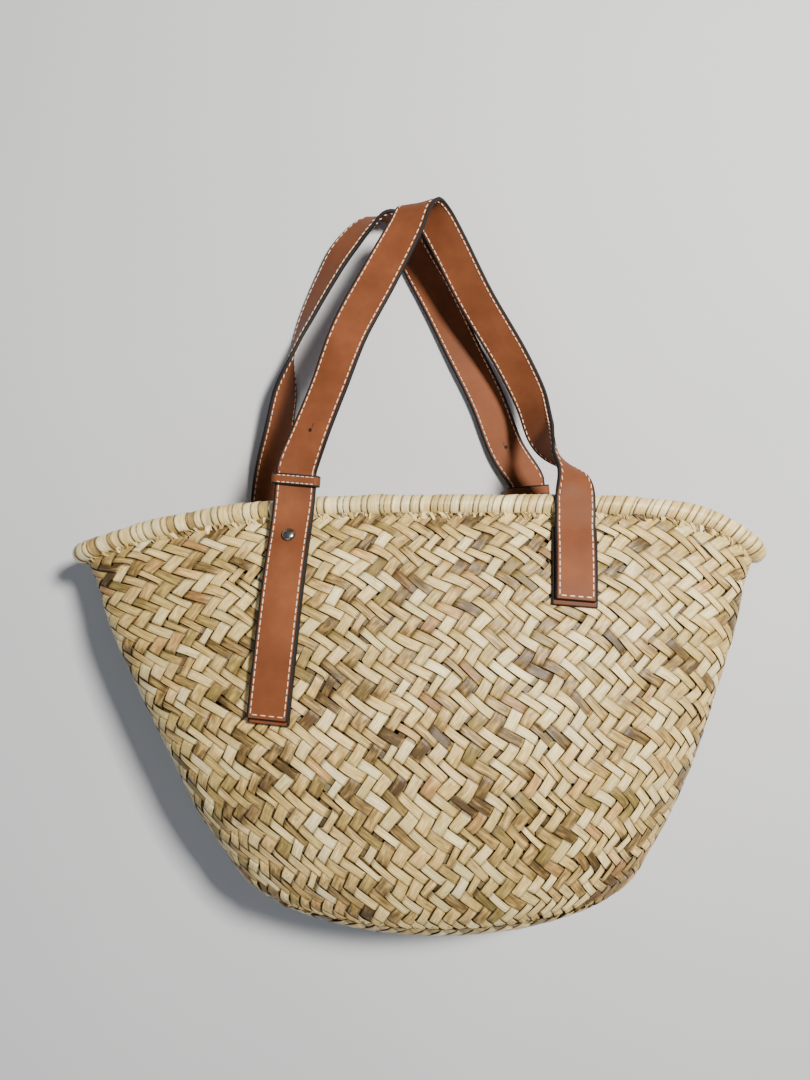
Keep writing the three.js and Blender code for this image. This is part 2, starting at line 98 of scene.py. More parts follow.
# Weave of the base
BASE_SPACING = 7.2
BASE_PITCH = BASE_SPACING / math.sqrt(2)
BASE_SAMPLES = 60
BASE_STRIPS = 14                # on each side of the middle, in each direction
BASE_SWEEP = 24                 # how many crossings each way a strip's ends are looked for
BASE_STEPS = 961                # steps of that search
BASE_SHORTEST = 30              # steps inside the base's edge; shorter strips are left out

# Winding of the rim
WRAPS = 176
WRAP_SLANT = 0.45               # share of a wrap that it leans in one turn
ROLL_STATIONS = 2112
ROLL_SIDES = 26
LASHING_START = 4.2             # below the rim line
LEAVING_FALL = 2.4 * ROLL_RADIUS        # below the rim line, where a strap leaves the wall

# Sewing
STITCH_PITCH = 4.3
STITCH_LENGTH = 3.4
STITCH_WIDTH = 0.62
FOOT_STITCH_WIDTH = 0.85        # the thread of the sewn end is thicker
STITCH_INSET = 2.4
STITCH_LIFT = 0.08              # middle of a stitch above the leather
KEEPER_STITCH_PITCH = 2.7
KEEPER_STITCH_WIDTH = 0.5
KEEPER_STITCH_INSET = 1.35
KEEPER_STITCH_LIFT = 0.06

# Edges and holes of the leather
STRAP_CORNER = 0.8
STRAP_PAINT = 0.5               # how far the edge paint laps onto the faces
KEEPER_CORNER = 0.6
KEEPER_PAINT = 0.4
STRAP_STEP = 2.2                # between the sections of a strap
HOLE_DIAMETER = 2.3
HOLE_RISE = 0.12
SLIT_LENGTH = 3.6
SLIT_WIDTH = 0.45
SLIT_ALONG, SLIT_ACROSS = 3.0, 0.5      # from the hole's middle to the slit's

# Levels of the basket from the rim to the middle of the base: mid_fall, side_fall,
# half_width, shift, front, back, turn, left_power and right_power, as in the part
LEVELS = np.array([
    (0.000, 0.115, 1.000, 0.000, 0.600, 0.150, 0.42, 2.6, 7.0),
    (0.084, 0.184, 0.955, 0.002, 0.727, 0.127, 0.42, 2.5, 5.0),
    (0.211, 0.289, 0.909, 0.005, 0.850, 0.108, 0.44, 2.3, 4.0),
    (0.377, 0.427, 0.836, 0.011, 0.940, 0.085, 0.45, 2.0, 3.0),
    (0.547, 0.565, 0.764, 0.018, 1.000, 0.030, 0.45, 2.0, 2.0),
    (0.713, 0.703, 0.692, 0.021, 1.000, -0.040, 0.45, 2.0, 2.0),
    (0.841, 0.805, 0.618, 0.025, 0.940, -0.020, 0.50, 2.0, 2.0),
    (0.929, 0.866, 0.565, 0.027, 0.840, 0.100, 0.55, 2.0, 2.0),
    (0.972, 0.915, 0.472, 0.028, 0.730, 0.215, 0.60, 2.0, 2.0),
    (0.992, 0.961, 0.331, 0.028, 0.610, 0.335, 0.60, 2.0, 2.0),
    (1.000, 1.000, 0.000, 0.028, 0.473, 0.473, 0.60, 2.0, 2.0),
])

# Free lengths of the handles: across, rise, height and the direction to the inner edge
FRONT_ARCH = np.array([
    (-0.774, 0.223, 0.715, 0.93, -0.20, 0.30),
    (-0.640, 0.380, 0.700, 0.84, -0.40, 0.36),
    (-0.500, 0.555, 0.675, 0.86, -0.45, 0.24),
    (-0.275, 0.752, 0.640, 0.86, -0.45, 0.24),
    (-0.105, 0.905, 0.600, 0.84, -0.36, 0.40),
    (-0.035, 0.980, 0.560, 0.87, -0.12, 0.48),
    (0.035, 1.000, 0.490, 0.87, 0.12, 0.46),
    (0.115, 0.973, 0.415, 0.84, 0.30, 0.45),
    (0.220, 0.900, 0.360, 0.80, 0.40, 0.45),
    (0.440, 0.719, 0.290, 0.76, 0.43, 0.49),
    (0.715, 0.518, 0.240, 0.74, 0.42, 0.53),
    (0.860, 0.380, 0.250, 0.68, 0.40, 0.60),
    (0.920, 0.258, 0.350, 0.52, 0.22, 0.80),
    (1.005, 0.170, 0.500, 0.00, 0.00, 1.00),
    (1.095, 0.098, 0.620, -0.85, 0.10, 0.50),
])
BACK_ARCH = np.array([
    (0.712, 0.213, 0.042, -0.90, -0.43, 0.00),
    (0.554, 0.396, 0.035, -0.90, -0.43, 0.00),
    (0.357, 0.579, 0.032, -0.90, -0.43, 0.00),
    (0.160, 0.761, 0.042, -0.88, -0.43, -0.15),
    (-0.035, 0.920, 0.080, -0.70, -0.45, -0.50),
    (-0.115, 1.005, 0.105, -0.40, -0.45, -0.78),
    (-0.224, 1.045, 0.121, -0.05, 0.03, -1.00),
    (-0.388, 1.028, 0.119, -0.50, 0.36, -0.79),
    (-0.586, 0.938, 0.112, -0.60, 0.46, -0.65),
    (-0.722, 0.832, 0.116, -0.56, 0.38, -0.74),
    (-0.879, 0.687, 0.118, -0.44, 0.27, -0.86),
    (-0.983, 0.565, 0.121, -0.22, 0.10, -0.97),
    (-1.058, 0.403, 0.118, 0.50, 0.00, -0.86),
    (-1.109, 0.273, 0.108, 0.66, 0.00, -0.75),
    (-1.165, 0.131, 0.086, 0.88, 0.00, -0.45),
])

# Both handles; holes are distances from the tail's end
FRONT_FEET = {"side": 1, "keeper_rise": FRONT_KEEPER_RISE, "arch": FRONT_ARCH,
              "holes": [181.0], "adjusting": (-0.890, -1.010), "sewn": (1.100, 1.050)}
BACK_FEET = {"side": -1, "keeper_rise": BACK_KEEPER_RISE, "arch": BACK_ARCH,
             "holes": [175.0], "adjusting": (0.885, 1.000), "sewn": (-1.190, -1.090)}

UP = np.array([0.0, 0.0, 1.0])


def unit(vectors):
    """Each vector divided by its length."""
    return vectors / np.maximum(np.linalg.norm(vectors, axis=-1, keepdims=True), 1e-12)


# The wall's shape

LEVEL_STEPS = np.hypot(np.diff(LEVELS[:, 0]) * BASKET_HEIGHT,
                       np.diff(LEVELS[:, 4]) * BELLY_DEPTH)
FRONT_LENGTH = LEVEL_STEPS.sum()
LEVEL_PLACES = np.concatenate([[0.0], np.cumsum(LEVEL_STEPS)]) / FRONT_LENGTH
LEVEL_SLOPES = np.concatenate([
    [(LEVELS[1] - LEVELS[0]) / (LEVEL_PLACES[1] - LEVEL_PLACES[0])],
    (LEVELS[2:] - LEVELS[:-2]) / (LEVEL_PLACES[2:] - LEVEL_PLACES[:-2])[:, None],
    [(LEVELS[-1] - LEVELS[-2]) / (LEVEL_PLACES[-1] - LEVEL_PLACES[-2])],
])
BASE_PLACE = LEVEL_PLACES[6]
WALL_END = LEVEL_PLACES[7] + 0.35 * (LEVEL_PLACES[8] - LEVEL_PLACES[7])


def level_at(place):
    """The columns of LEVELS at any place from 0, the rim, to 1: a cubic between two rows
    whose slope at a row is that of the line through its two neighbours."""
    place = np.asarray(place, dtype=float)
    i = np.clip(np.searchsorted(LEVEL_PLACES[1:], place, side="left"), 0, len(LEVELS) - 2)
    span = (LEVEL_PLACES[i + 1] - LEVEL_PLACES[i])[..., None]
    t = (place[..., None] - LEVEL_PLACES[i][..., None]) / span
    a, b = LEVELS[i], LEVELS[i + 1]
    slope_a, slope_b = LEVEL_SLOPES[i] * span, LEVEL_SLOPES[i + 1] * span
    return a + t * (slope_a + t * ((3 * (b - a) - 2 * slope_a - slope_b)
                                   + t * (slope_a + slope_b - 2 * (b - a))))


def point_on_level(level, angle):
    """A point of a level: an ellipse widened all round by the radius of the side edges,
    bent down towards the sides by a power, and flattened by the resting surface."""
    mid_fall, side_fall, half_width, shift, front, back, turn, left, right = (
        level[..., k] for k in range(LEVELS.shape[1]))
    half_width = half_width * RIM_WIDTH / 2
    half_depth = (front - back) * BELLY_DEPTH / 2
    middle = (front + back) * BELLY_DEPTH / 2
    turn = turn * half_depth
    core_width, core_depth = half_width - turn, half_depth - turn
    normal_x, normal_z = core_depth * np.cos(angle), core_width * np.sin(angle)
    size = np.maximum(np.hypot(normal_x, normal_z), 1e-9)
    along = core_width * np.cos(angle) + turn * normal_x / size
    up = middle + core_depth * np.sin(angle) + turn * normal_z / size
    share = np.minimum(np.abs(along) / np.maximum(half_width, 1e-9), 1)
    bend = share ** np.where(along < 0, left, right)
    fall = mid_fall + (side_fall - mid_fall) * bend
    return np.stack([shift * RIM_WIDTH + along, -fall * BASKET_HEIGHT, np.maximum(up, 0)], -1)


def frame_on_wall(place, angle):
    """Outward normal, the cross product of the way round and the way down, and the way down."""
    step = 1e-3
    place, angle = np.broadcast_arrays(np.asarray(place, dtype=float), angle)
    near, far = np.maximum(place - step, 0), np.minimum(place + step, 1 - step)
    level = level_at(place)
    round_ = point_on_level(level, angle + step) - point_on_level(level, angle - step)
    down = point_on_level(level_at(far), angle) - point_on_level(level_at(near), angle)
    return unit(np.cross(round_, down)), unit(down)


def wall_table(rows=300, stations=1440):
    """Point and outward normal of the wall on an even grid. Rows go from the rim down;
    stations go round by equal lengths from the left end over the front panel."""
    places = np.linspace(0, WALL_END, rows)
    shares = np.linspace(0, 1, stations + 1)
    angles = math.pi - 2 * math.pi * shares
    level = level_at(places)[:, None, :]
    rough = point_on_level(level, angles[None, :])
    steps = np.linalg.norm(np.diff(rough, axis=1), axis=2)
    runs = np.concatenate([np.zeros((rows, 1)), np.cumsum(steps, axis=1)], axis=1)
    even = np.stack([np.interp(shares, run / run[-1], angles) for run in runs])
    points = point_on_level(level, even)
    out, _ = frame_on_wall(places[:, None], even)
    return np.concatenate([points, out], axis=2)


WALL_TABLE = wall_table()


def read_table(table, row, column):
    """A table's value between its rows and columns, by straight lines both ways."""
    i = np.minimum(row.astype(int), table.shape[0] - 2)
    j = np.minimum(column.astype(int), table.shape[1] - 2)
    a, b = row - i, column - j
    if table.ndim == 3:
        a, b = a[..., None], b[..., None]
    return ((1 - a) * ((1 - b) * table[i, j] + b * table[i, j + 1])
            + a * ((1 - b) * table[i + 1, j] + b * table[i + 1, j + 1]))


def on_wall(share, place):
    """Point and outward normal at a share of the way round and a place below the rim."""
    column = np.mod(share, 1.0) * (WALL_TABLE.shape[1] - 1)
    row = np.clip(place / WALL_END, 0, 1) * (WALL_TABLE.shape[0] - 1)
    found = read_table(WALL_TABLE, row, column)
    return found[..., :3], unit(found[..., 3:])


# Meshes

def strip_faces(count, samples, ring):
    """Faces of closed tubes laid out as strip, sample, ring: quads between neighbours round
    and along, and one face at each end."""
    index = np.arange(count * samples * ring).reshape(count, samples, ring)
    after = np.roll(index, -1, axis=2)
    quads = np.stack([index[:, :-1], after[:, :-1], after[:, 1:], index[:, 1:]], -1)
    caps = np.concatenate([index[:, 0, ::-1], index[:, -1]])
    return quads.reshape(-1, 4).tolist() + caps.tolist()


def ring_faces(stations, sides):
    """Quads of a tube that closes on itself both ways."""
    index = np.arange(stations * sides).reshape(stations, sides)
    after = np.roll(index, -1, axis=1)
    quads = np.stack([index, after, np.roll(after, -1, axis=0), np.roll(index, -1, axis=0)], -1)
    return quads.reshape(-1, 4).tolist()


def signed_volume(points, faces):
    """Six times the volume inside the faces, negative if they point inwards."""
    quads = np.array([face for face in faces if len(face) == 4])
    a, b, c, d = (points[quads[:, k]] for k in range(4))
    return (np.einsum("ij,ij->i", a, np.cross(b, c))
            + np.einsum("ij,ij->i", a, np.cross(c, d))).sum()


class Shape:
    """Points, faces and named values at the points, gathered part by part."""

    def __init__(self):
        self.points, self.faces, self.values, self.size = [], [], {}, 0

    def add(self, points, faces, **values):
        """Adds closed forms. values holds one number or one for each point, by name."""
        points = points.reshape(-1, 3)
        if signed_volume(points, faces) < 0:
            faces = [face[::-1] for face in faces]
        self.faces += [[k + self.size for k in face] for face in faces]
        for name in set(self.values) | set(values):
            value = np.broadcast_to(values.get(name, 0.0), len(points)).astype(np.float32)
            self.values.setdefault(name, [np.zeros(self.size, np.float32)] if self.size else [])
            self.values[name].append(value)
        self.points.append(points)
        self.size += len(points)

    def piece(self, name, slot, material, nodes, sharp=None):
        """Makes the object at the origin, riding on the bag and standing for CAD nodes."""
        mesh = bpy.data.meshes.new(name)
        points = (np.concatenate(self.points) + MODEL_SHIFT) * MM
        mesh.from_pydata(points, [], self.faces)
        mesh.polygons.foreach_set("use_smooth", np.ones(len(mesh.polygons), dtype=bool))
        for key, parts in self.values.items():
            attribute = mesh.attributes.new(key, "FLOAT", "POINT")
            attribute.data.foreach_set("value", np.concatenate(parts))
        if sharp:
            mesh.set_sharp_from_angle(angle=math.radians(sharp))
        mesh.materials.append(material)
        piece = bpy.data.objects.new(name, mesh)
        bpy.context.scene.collection.objects.link(piece)
        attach(piece, "root")
        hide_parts(*nodes)
        return piece


def beads(centres, along, out, length, width, height):
    """Small closed cushions: a ball stretched to length, width and height, one at each centre."""
    turns = np.linspace(0, 2 * math.pi, 6, endpoint=False)
    stops = np.array([-1.0, -0.8, 0.0, 0.8, 1.0])
    girth = np.array([0.25, 0.85, 1.0, 0.85, 0.25])
    centres, along, out = (np.reshape(v, (-1, 1, 1, 3)) for v in (centres, along, out))
    across = np.cross(out, along)
    x = (stops * length / 2)[None, :, None, None]
    y = (girth[:, None] * np.cos(turns) * width / 2)[None, :, :, None]
    z = (girth[:, None] * np.sin(turns) * height / 2)[None, :, :, None]
    points = centres + along * x + across * y + out * z
    return points, strip_faces(points.shape[0], 5, 6)


# The weave

# Round a strip's section: place across it, rise, share of the crown and of the dark edge, which
# is partly the cut edge's own colour and partly painted shade in the gaps between strips
RING_ACROSS = np.array([-1.0, -0.91, 0.0, 0.91, 1.0, 0.91, -0.91])
RING_RISE = np.array([0.0, 0.5, 0.5, 0.5, 0.0, -0.5, -0.5]) * STRIP_THICKNESS
RING_CROWN = np.array([0.0, 0.2, 1.0, 0.2, 0.0, 0.1, 0.1]) * STRIP_CROWN
RING_CUT_AND_SHADE = np.array([1.0, 0.22, 0.0, 0.22, 1.0, 0.7, 0.7])

ROW_TABLE_FALLS = np.linspace(0, FRONT_LENGTH, 2000)
ROW_TABLE = np.concatenate([[0.0], np.cumsum(
    np.diff(ROW_TABLE_FALLS)
    / np.interp(ROW_TABLE_FALLS[1:], ROW_FALLS, ROW_HEIGHTS))])


def lattice_on_wall(a, b):
    """The wall's point and normal where strip a of one direction meets strip b of the other.
    The row is b - a; the way round is a weighted mean of a and b, crowded on the panels.
    Both wander a millimetre or so in long waves, as handwork does."""
    fall = np.interp(b - a, ROW_TABLE, ROW_TABLE_FALLS)
    even = ((1 - STEEP_SHARE) * a + STEEP_SHARE * b) / STRIPS
    turn = 2 * math.pi * even
    fade = np.clip(fall / 20, 0, 1) * np.clip((WALL_END * FRONT_LENGTH - fall) / 20, 0, 1)
    even = even + fade * (0.0012 * np.sin(9 * turn + fall / 17)
                          + 0.0009 * np.sin(17 * turn - fall / 11 + 1.3))
    fall = fall + fade * (1.3 * np.sin(11 * turn + fall / 23 + 0.7)
                          + 0.9 * np.sin(23 * turn - fall / 14))
    crowding = np.interp(fall, ROW_FALLS, ROW_CROWDING) / (4 * math.pi)
    share = even
    for _ in range(3):
        share = even + crowding * np.sin(4 * math.pi * share)
    return on_wall(share, fall / FRONT_LENGTH)


def base_radii(stations=361, steps=160):
    """For each direction from the base's middle, how far out the base's edge is, and the
    base's Y at even shares of that distance."""
    start = WALL_END - 0.004
    places = np.linspace(start, 1, steps)
    angles = np.linspace(0, 2 * math.pi, 721)
    points = point_on_level(level_at(places)[:, None, :], angles[None, :])
    middle = points[-1, 0]
    ways = np.linspace(-math.pi, math.pi, stations)
    flat = points[..., [0, 2]] - middle[[0, 2]]
    way = np.arctan2(flat[..., 1], flat[..., 0])
    reach = np.hypot(flat[..., 0], flat[..., 1])
    radii = np.empty((steps, stations))
    heights = np.empty((steps, stations))
    for row in range(steps - 1):
        order = np.argsort(way[row])
        radii[row] = np.interp(ways, way[row][order], reach[row][order], period=2 * math.pi)
        heights[row] = np.interp(ways, way[row][order], points[row, order, 1],
                                 period=2 * math.pi)
    radii[-1], heights[-1] = 0, middle[1]
    shares = np.linspace(0, 1, 120)
    table = np.stack([np.interp(shares, radii[::-1, k] / radii[0, k], heights[::-1, k])
                      for k in range(stations)])
    return middle, ways, radii[0], table


BASE_MIDDLE, BASE_WAYS, BASE_EDGE, BASE_TABLE = base_radii()


def base_share(x, z):
    """Distance from the base's middle as a share of the way to its edge, and the direction."""
    way = np.arctan2(z, x)
    return np.hypot(x, z) / np.interp(way, BASE_WAYS, BASE_EDGE), way


def base_y(x, z):
    """The base's Y above a point of its plan."""
    share, way = base_share(x, z)
    row = (way + math.pi) / (2 * math.pi) * (len(BASE_WAYS) - 1)
    column = np.clip(share, 0, 1) * (BASE_TABLE.shape[1] - 1)
    return read_table(BASE_TABLE, row, column)


def lattice_on_base(a, b):
    """The base's point and normal where strips a and b meet, at 45 degrees in its plan."""
    x, z = BASE_PITCH * (a + b), BASE_PITCH * (a - b)
    step = 0.6
    slope_x = (base_y(x + step, z) - base_y(x - step, z)) / (2 * step)
    slope_z = (base_y(x, z + step) - base_y(x, z - step)) / (2 * step)
    points = np.stack([x, base_y(x, z), z], -1)
    points = points + BASE_MIDDLE * [1, 0, 1]
    return points, unit(np.stack([slope_x, -np.ones_like(x), slope_z], -1))


def over_and_under(row):
    """1 where a strip lies over two rows of crossings, -1 where it dives under the next two,
    with short slopes between: a cosine of four rows, pressed flat by a tanh."""
    return np.tanh(3.6 * np.cos((row - 0.5) * math.pi / 2)) / math.tanh(3.6)


def weave(shape, surface, steep, numbers, runs, seed, unit_length):
    """Flat strips woven over two and under two.

    numbers are the strips' places in their own direction; runs are the places of the samples
    in the other direction. Each strip is a flat tube: across it goes a share of the space
    between strips, and its height follows over_and_under. Widths, leans and tones vary from
    strip to strip and from one visible float to the next.
    """
    rng = np.random.default_rng(seed)
    count, samples = runs.shape
    rows = (runs - numbers[:, None]) if not steep else (numbers[:, None] - runs)
    floats = np.floor((rows + 0.5) / 2).astype(int) % FLOAT_LOOKS
    picks = np.arange(count)[:, None]

    def per_float(low, high):
        return rng.uniform(low, high, (count, FLOAT_LOOKS))[picks, floats]

    wave = np.cumsum(rng.normal(0, 1, (count, samples)), axis=1)
    wave = wave - np.linspace(0, 1, samples) * wave[:, -1:]
    wave = 0.05 * wave / np.maximum(np.abs(wave).max(axis=1, keepdims=True), 1e-9)
    width = STRIP_REACH * rng.uniform(0.90, 1.06, (count, 1)) * per_float(0.95, 1.05)
    narrow = rng.uniform(0, 1, (count, FLOAT_LOOKS))[picks, floats]
    width = width * np.where(narrow < 0.07, 0.72, 1.0)
    side = np.where(narrow < 0.035, 0.1, np.where(narrow < 0.07, -0.1, 0.0))
    across = width[..., None] * RING_ACROSS + (wave + side)[..., None]
    own = numbers[:, None, None] + across
    other = np.broadcast_to(runs[..., None], own.shape)
    points, out = surface(other, own) if steep else surface(own, other)
    over = over_and_under(rows) * (-1 if steep else 1)
    ends = np.minimum(np.arange(samples), np.arange(samples)[::-1])
    tuck = np.where(ends < 2, (2 - ends) * 0.35, 0.0)
    height = WEAVE_LIFT * over + per_float(-0.1, 0.1) - WEAVE_DEPTH - tuck
    lean = per_float(-0.24, 0.24)
    lift = (height[..., None] + lean[..., None] * RING_ACROSS + RING_RISE + RING_CROWN)
    points = points + out * lift[..., None]
    tone = 0.5 * rng.uniform(0, 1, (count, 1)) + 0.5 * per_float(0, 1)
    hue = per_float(0, 1)
    # Painted shade: the colour darkens towards near black where a float turns to dive under its
    # neighbours
    dive = 1 - np.clip((over + 0.25) / 1.15, 0, 1)
    shape.add(points, strip_faces(count, samples, len(RING_ACROSS)),
              tone=np.repeat(tone.ravel(), len(RING_ACROSS)),
              hue=np.repeat(hue.ravel(), len(RING_ACROSS)),
              dive=np.repeat(dive.ravel(), len(RING_ACROSS)),
              cut=np.tile(RING_CUT_AND_SHADE, samples * count),
              across=np.tile(RING_ACROSS * FIBRE_REACH, samples * count) + np.repeat(
                  rng.uniform(0, 400, count), samples * len(RING_ACROSS)),
              along=np.repeat(runs.ravel() * unit_length, len(RING_ACROSS)))


def wall_weave(steep, seed):
    """One direction of the wall's strips, all round, from under the roll to the base."""
    shape = Shape()
    first = np.interp(WEAVE_START, ROW_TABLE_FALLS, ROW_TABLE)
    last = np.interp(WALL_END * FRONT_LENGTH, ROW_TABLE_FALLS, ROW_TABLE)
    # Samples lie closest where a strip turns over or under
    stops = np.array([-1.0, -0.82, -0.60, 0.0, 0.60, 0.82])
    stops = (np.arange(-2, 60, 2)[:, None] + 0.5 + stops).ravel()
    rows = np.concatenate([[first], stops[(stops > first + 0.1) & (stops < last - 0.1)], [last]])
    numbers = np.arange(STRIPS, dtype=float)
    runs = numbers[:, None] + (-rows if steep else rows)[None, :]
    weave(shape, lattice_on_wall, steep, numbers, runs, seed, WALL_SPACING)
    return shape


def base_weave(seed):
    """Both directions of the base's strips, each cut off just inside the base's edge."""
    shape = Shape()
    sweep = np.linspace(-BASE_SWEEP, BASE_SWEEP, BASE_STEPS)
    for steep in (False, True):
        numbers = np.arange(-BASE_STRIPS, BASE_STRIPS + 1, dtype=float)
        a, b = (sweep, numbers[:, None]) if steep else (numbers[:, None], sweep)
        inside = base_share(BASE_PITCH * (a + b), BASE_PITCH * (a - b))[0] < 1.0
        held = inside.sum(axis=1) > BASE_SHORTEST
        starts = sweep[inside.argmax(axis=1)][held]
        stops = sweep[len(sweep) - 1 - inside[:, ::-1].argmax(axis=1)][held]
        runs = starts[:, None] + (stops - starts)[:, None] * np.linspace(0, 1, BASE_SAMPLES)
        weave(shape, lattice_on_base, steep, numbers[held], runs, seed + steep, BASE_SPACING)
    return shape


# The rim

def roll_frames(shares):
    """Middle line of the rim roll, with its outward and downward directions."""
    angles = np.linspace(math.pi, -math.pi, 2881)
    level = level_at(np.zeros(1))
    rough = point_on_level(level, angles)
    run = np.concatenate([[0], np.cumsum(np.linalg.norm(np.diff(rough, axis=0), axis=1))])
    angle = np.interp(np.mod(shares, 1.0), run / run[-1], angles)
    out, down = frame_on_wall(np.zeros(len(angle)), angle)
    return point_on_level(level, angle), out, down


def rim_winding(seed=11):
    """The roll round the mouth: a tube whose radius rises and falls over slanting wraps.
    Each wrap is a band with a rounded face that laps over the next, a little wider, higher
    or paler than its neighbours."""
    rng = np.random.default_rng(seed)
    shape = Shape()
    shares = np.linspace(0, 1, ROLL_STATIONS, endpoint=False)
    turns = np.linspace(0, 2 * math.pi, ROLL_SIDES, endpoint=False)
    middle, out, down = roll_frames(shares)
    edges = np.arange(WRAPS + 1) + np.concatenate([[0], rng.uniform(-0.4, 0.4, WRAPS - 1), [0]])
    slant = WRAP_SLANT * np.cos(turns - 0.6)
    place = np.mod(shares[:, None] * WRAPS + slant, WRAPS)
    band = np.clip(np.searchsorted(edges, place, side="right") - 1, 0, WRAPS - 1)
    within = (place - edges[band]) / (edges[band + 1] - edges[band])
    rise = rng.uniform(-0.22, 0.22, WRAPS)[band]
    face = 0.55 * (1 - np.abs(2 * within - 1) ** 10) + 0.35 * within
    swell = 0.3 * np.sin(shares * 2 * math.pi * 19)[:, None]
    radius = ROLL_RADIUS - 0.55 + rise + face + swell
    points = (middle[:, None] + radius[..., None]
              * (down[:, None] * np.cos(turns)[:, None] + out[:, None] * np.sin(turns)[:, None]))
    tone = np.where(rng.uniform(0, 1, WRAPS) < 0.12, 0.3, rng.uniform(0.55, 0.95, WRAPS))
    shape.add(points, ring_faces(ROLL_STATIONS, ROLL_SIDES),
              tone=tone[band].ravel(),
              hue=rng.uniform(0, 1, WRAPS)[band].ravel(),
              # Dark lines at the edges of each wrap: painted shade in the gaps between wraps
              cut=np.clip((np.abs(2 * within - 1) - 0.74) / 0.16, 0, 1).ravel(),
              across=(within * 2 * FIBRE_REACH + 17.3 * band).ravel(),
              along=np.broadcast_to(turns * ROLL_RADIUS, place.shape).ravel())
    return shape


def rim_lashing(seed=12):
    """Where the wraps pass through the wall: short strips on both faces, from under the roll
    to uneven distances below it, each dipping into the weave at its end."""
    rng = np.random.default_rng(seed)
    shape = Shape()
    samples = 9
    for face, count in ((1, 3 * WRAPS), (-1, 2 * WRAPS)):
        share = (np.arange(count) + rng.uniform(-0.35, 0.35, count)) / count
        drift = rng.normal(0.0035, 0.0045, count)
        reach = rng.uniform(2.0, 8.5, count)
        t = np.linspace(0, 1, samples)
        width = rng.uniform(0.0006, 0.0025, count)
        ends = 1 - 0.6 * t ** 2
        place = (LASHING_START + reach[:, None] * t)[..., None] * np.ones(len(RING_ACROSS))
        round_ = ((share[:, None] + drift[:, None] * t)[..., None]
                  + (width[:, None] * ends)[..., None] * RING_ACROSS)
        points, out = on_wall(round_, place / FRONT_LENGTH)
        loop = rng.uniform(0.3, 1.3, count)[:, None] * np.sin(math.pi * t) - 1.6 * t ** 4
        height = (loop[..., None] + RING_RISE + RING_CROWN
                  + rng.uniform(-0.3, 0.3, count)[:, None, None] * RING_ACROSS)
        if face < 0:
            height = -height - WALL
        points = points + out * height[..., None]
        shape.add(points, strip_faces(count, samples, len(RING_ACROSS)),
                  tone=np.repeat(rng.uniform(0.0, 0.9, count), samples * len(RING_ACROSS)),
                  hue=np.repeat(rng.uniform(0, 1, count), samples * len(RING_ACROSS)),
                  cut=np.tile(RING_CUT_AND_SHADE, samples * count),
                  across=np.repeat(rng.uniform(0, 400, count), samples * len(RING_ACROSS))
                  + np.tile(RING_ACROSS * 3, samples * count),
                  along=np.repeat(place[..., 0].ravel(), len(RING_ACROSS)))
    return shape


# The straps' routes

def angle_at(level, side, x):
    """The angle of a level's point on one panel with a given X, by halving."""
    low, high = np.zeros_like(x), np.full_like(x, math.pi)
    for _ in range(40):
        angle = (low + high) / 2
        beyond = point_on_level(level, side * angle)[..., 0] > x
        low, high = np.where(beyond, angle, low), np.where(beyond, high, angle)
    return side * low


def point_on_panel(side, x, y):
    """Point and normal of the front (side 1) or back (side -1) panel at a given X and Y."""
    low, high = np.zeros_like(x), np.full_like(x, BASE_PLACE)
    for _ in range(40):
        place = (low + high) / 2
        angle = angle_at(level_at(place), side, x)
        above = point_on_level(level_at(place), angle)[..., 1] > y
        low, high = np.where(above, place, low), np.where(above, high, place)
    return point_on_level(level_at(low), angle), frame_on_wall(low, angle)[0]


def rim_line_at(side, x):
    """Y of the rim's middle line on one panel."""
    level = level_at(np.zeros_like(x))
    return point_on_level(level, angle_at(level, side, x))[..., 1]


def across_at(line, share):
    """X of a strap's middle, from its place at the rim to that at its end."""
    return (line[0] + (line[1] - line[0]) * np.asarray(share, dtype=float)) * HANDLE_SPREAD / 2


def panel_route(side, line, length, margin, lift):
    """Stations of a strap on a panel, from its lower end up to where it leaves the wall."""
    count = max(round((length - LEAVING_FALL) / STRAP_SPACING), 2)
    falls = length + (LEAVING_FALL - length) * np.arange(count + 1) / count
    if margin > 0:
        falls = np.concatenate([[length + margin], falls])
    x = across_at(line, falls / length)
    point, out = point_on_panel(side, x, rim_line_at(side, x) - falls)
    left, _ = point_on_panel(side, x - STRAP_WIDTH / 2, point[:, 1])
    right, _ = point_on_panel(side, x + STRAP_WIDTH / 2, point[:, 1])
    return point + out * lift, unit(right - left)


def over_roll(side, x, lift):
    """The station where a strap crosses the roll, pressed on it square to its own way."""
    x = np.array([x], dtype=float)
    angle = angle_at(level_at(np.zeros(1)), side, x)
    out, _ = frame_on_wall(np.zeros(1), angle)
    press = unit((out + 2 * side * UP) * [0, 1, 1])
    point = point_on_level(level_at(np.zeros(1)), angle)
    return point + press * (ROLL_RADIUS + WRAP_GAP + lift), np.array([[1.0, 0.0, 0.0]])


def above_roll(side, line, rise, lift):
    """A station above the rim line, level with the strap where it crosses the roll."""
    point, across = over_roll(side, across_at(line, 0), 0)
    slant = (line[0] - line[1]) * HANDLE_SPREAD / 2 / TAIL_LENGTH
    return point + [slant * rise, rise, side * lift], across


